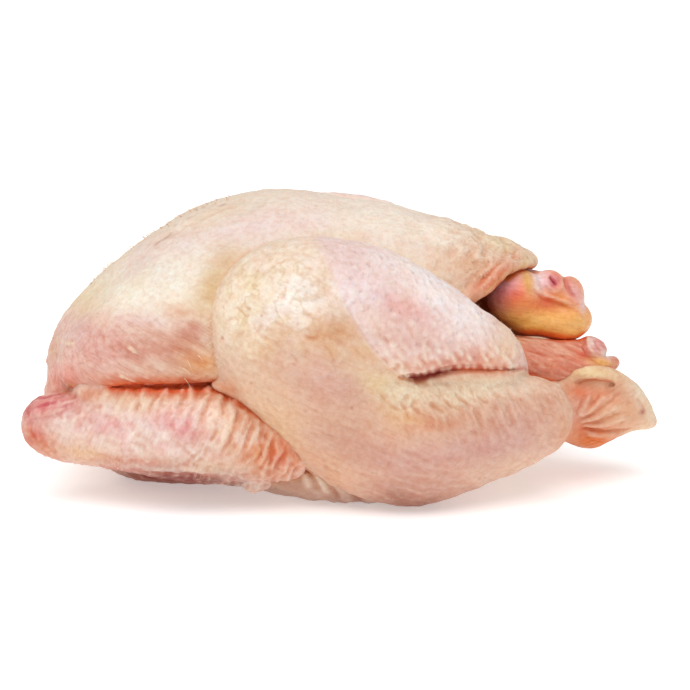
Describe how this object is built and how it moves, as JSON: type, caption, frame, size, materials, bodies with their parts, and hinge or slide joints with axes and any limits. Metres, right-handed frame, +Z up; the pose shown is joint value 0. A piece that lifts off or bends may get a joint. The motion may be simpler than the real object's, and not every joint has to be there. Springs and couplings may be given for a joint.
{
  "type": "poularde",
  "caption": "Whole raw poularde lying on its back, plucked skin, folded wings, legs tucked under the belly skin and the tail left on.",
  "frame": {"origin": "under the middle of the bird's box, on the surface it lies on", "axes": "+X from the neck end to the tail, +Z up from the back to the breast, +Y to the bird's left side"},
  "size_m": [0.2804, 0.16, 0.1309],
  "materials": {
    "skin": "raw plucked poultry skin, moist satin"
  },
  "bodies": {
    "root": {"poularde": "skin"}
  },
  "joints": []
}
